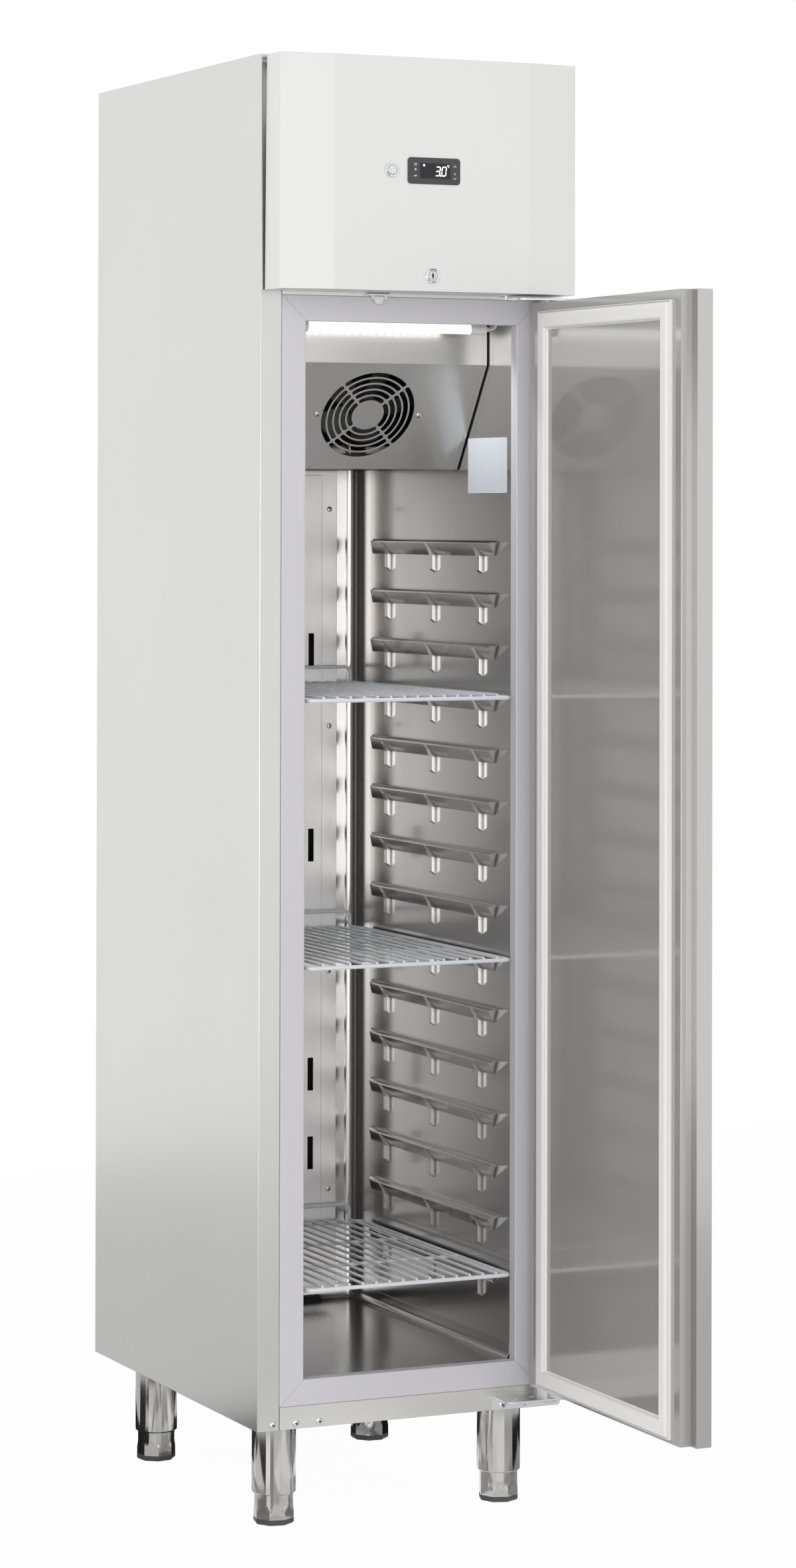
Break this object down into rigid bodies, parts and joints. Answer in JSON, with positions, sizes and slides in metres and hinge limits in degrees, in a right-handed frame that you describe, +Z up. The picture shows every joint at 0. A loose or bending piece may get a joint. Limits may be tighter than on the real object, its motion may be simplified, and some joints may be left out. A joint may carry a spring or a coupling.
{
  "type": "commercial upright refrigerator",
  "caption": "Tall narrow storage refrigerator in brushed steel, door open, wire shelves on pressed runners, hood with controller, adjustable legs.",
  "frame": {"origin": "on the floor, midway across the cabinet and midway between its back and the free edge of the open door", "axes": "+Z up, +X to the right of someone facing the cabinet, +Y towards its back"},
  "size_m": [0.48, 1.1414, 2.1],
  "materials": {
    "brushed_sheet": "satin",
    "liner_sheet": "satin",
    "hidden_sheet": "satin",
    "frame_plastic": "satin",
    "foam": "matte",
    "zinc_steel": "polished",
    "polished_tube": "polished",
    "coil_aluminium": "satin",
    "motor_housing": "satin",
    "lamp_diffuser": "gloss",
    "white_plastic": "satin",
    "black_paint": "satin",
    "black_rubber": "matte",
    "copper_pipe": "satin",
    "dark_plastic": "satin",
    "gasket_rubber": "matte",
    "display_gloss": "gloss",
    "chrome_trim": "polished",
    "shelf_coating": "satin",
    "foot_plastic": "satin"
  },
  "bodies": {
    "cabinet": {"side_skin_left": "brushed_sheet", "side_skin_right": "brushed_sheet", "rear_skin": "hidden_sheet", "base_skin": "hidden_sheet", "compartment_floor": "hidden_sheet", "front_rails": "brushed_sheet", "frame_profiles": "frame_plastic", "insulation": "foam", "liner_left": "liner_sheet", "liner_right": "liner_sheet", "liner_back": "liner_sheet", "liner_ceiling": "liner_sheet", "floor_pan": "liner_sheet", "duct_channel": "liner_sheet", "duct_cover": "liner_sheet", "fan_cover": "liner_sheet", "screws": "zinc_steel", "evaporator_coil": "coil_aluminium", "evaporator_motor": "motor_housing", "drip_tray": "coil_aluminium", "lamp_tube": "lamp_diffuser", "lamp_holders": "white_plastic", "lamp_lead": "white_plastic", "door_switch": "white_plastic", "lower_hinge_bracket": "zinc_steel", "upper_hinge_bracket": "zinc_steel", "hinge_pins": "zinc_steel", "leg_tubes": "polished_tube", "compressor": "black_paint", "compressor_mounts": "black_rubber", "condenser_coil": "coil_aluminium", "condenser_shroud": "hidden_sheet", "condenser_motor": "motor_housing", "refrigerant_pipes": "copper_pipe", "electrical_box": "dark_plastic", "evaporation_tray": "dark_plastic", "rear_guard": "hidden_sheet", "hood_fittings": "zinc_steel"},
    "door": {"door_outer_skin": "brushed_sheet", "door_inner_skin": "liner_sheet", "door_insulation": "foam", "door_gasket": "gasket_rubber", "door_bushes": "white_plastic"},
    "hood": {"control_panel": "brushed_sheet", "controller": "dark_plastic", "display_window": "display_gloss", "button_ring": "chrome_trim", "lock_housing": "chrome_trim"},
    "power_button_body": {"power_button": "chrome_trim"},
    "lock_plug_body": {"lock_plug": "chrome_trim"},
    "door_switch_lever_body": {"door_switch_lever": "white_plastic"},
    "shelf_top_body": {"shelf_top": "shelf_coating"},
    "shelf_middle_body": {"shelf_middle": "shelf_coating"},
    "shelf_bottom_body": {"shelf_bottom": "shelf_coating"},
    "evaporator_fan_body": {"evaporator_fan": "dark_plastic"},
    "condenser_fan_body": {"condenser_fan": "dark_plastic"},
    "foot_front_left_body": {"foot_front_left": "foot_plastic"},
    "foot_front_right_body": {"foot_front_right": "foot_plastic"},
    "foot_rear_left_body": {"foot_rear_left": "foot_plastic"},
    "foot_rear_right_body": {"foot_rear_right": "foot_plastic"}
  },
  "joints": [
    {"name": "door_hinge", "type": "hinge", "parent": "cabinet", "child": "door", "pos_m": [0.2135, -0.11725, 0], "axis": [0, 0, 1], "range_deg": [-90, 20]},
    {"name": "hood_hinge", "type": "hinge", "parent": "cabinet", "child": "hood", "pos_m": [0, -0.09125, 2.09], "axis": [-1, 0, 0], "range_deg": [0, 70]},
    {"name": "lock_turn", "type": "hinge", "parent": "hood", "child": "lock_plug_body", "pos_m": [0, -0.14665, 1.786], "axis": [0, 1, 0], "range_deg": [0, 90]},
    {"name": "power_button_press", "type": "slide", "parent": "hood", "child": "power_button_body", "axis": [0, 1, 0], "range_m": [0, 0.002], "stiffness_N_per_m": 300},
    {"name": "switch_lever_tip", "type": "hinge", "parent": "cabinet", "child": "door_switch_lever_body", "pos_m": [-0.056, -0.08325, 1.7565], "axis": [1, 0, 0], "range_deg": [0, 10], "stiffness_Nm_per_rad": 0.02},
    {"name": "evaporator_fan_spin", "type": "hinge", "parent": "cabinet", "child": "evaporator_fan_body", "pos_m": [-0.0053, 0.0662, 1.59074], "axis": [0, -0.8325, -0.554], "continuous": true},
    {"name": "condenser_fan_spin", "type": "hinge", "parent": "cabinet", "child": "condenser_fan_body", "pos_m": [0, 0.03775, 1.918], "axis": [0, -1, 0], "continuous": true},
    {"name": "shelf_top_slide", "type": "slide", "parent": "cabinet", "child": "shelf_top_body", "axis": [0, -1, 0], "range_m": [0, 0.35]},
    {"name": "shelf_middle_slide", "type": "slide", "parent": "cabinet", "child": "shelf_middle_body", "axis": [0, -1, 0], "range_m": [0, 0.35]},
    {"name": "shelf_bottom_slide", "type": "slide", "parent": "cabinet", "child": "shelf_bottom_body", "axis": [0, -1, 0], "range_m": [0, 0.35]},
    {"name": "foot_front_left_screw", "type": "slide", "parent": "cabinet", "child": "foot_front_left_body", "axis": [0, 0, 1], "range_m": [-0.03, 0.012]},
    {"name": "foot_front_right_screw", "type": "slide", "parent": "cabinet", "child": "foot_front_right_body", "axis": [0, 0, 1], "range_m": [-0.03, 0.012]},
    {"name": "foot_rear_left_screw", "type": "slide", "parent": "cabinet", "child": "foot_rear_left_body", "axis": [0, 0, 1], "range_m": [-0.03, 0.012]},
    {"name": "foot_rear_right_screw", "type": "slide", "parent": "cabinet", "child": "foot_rear_right_body", "axis": [0, 0, 1], "range_m": [-0.03, 0.012]}
  ]
}
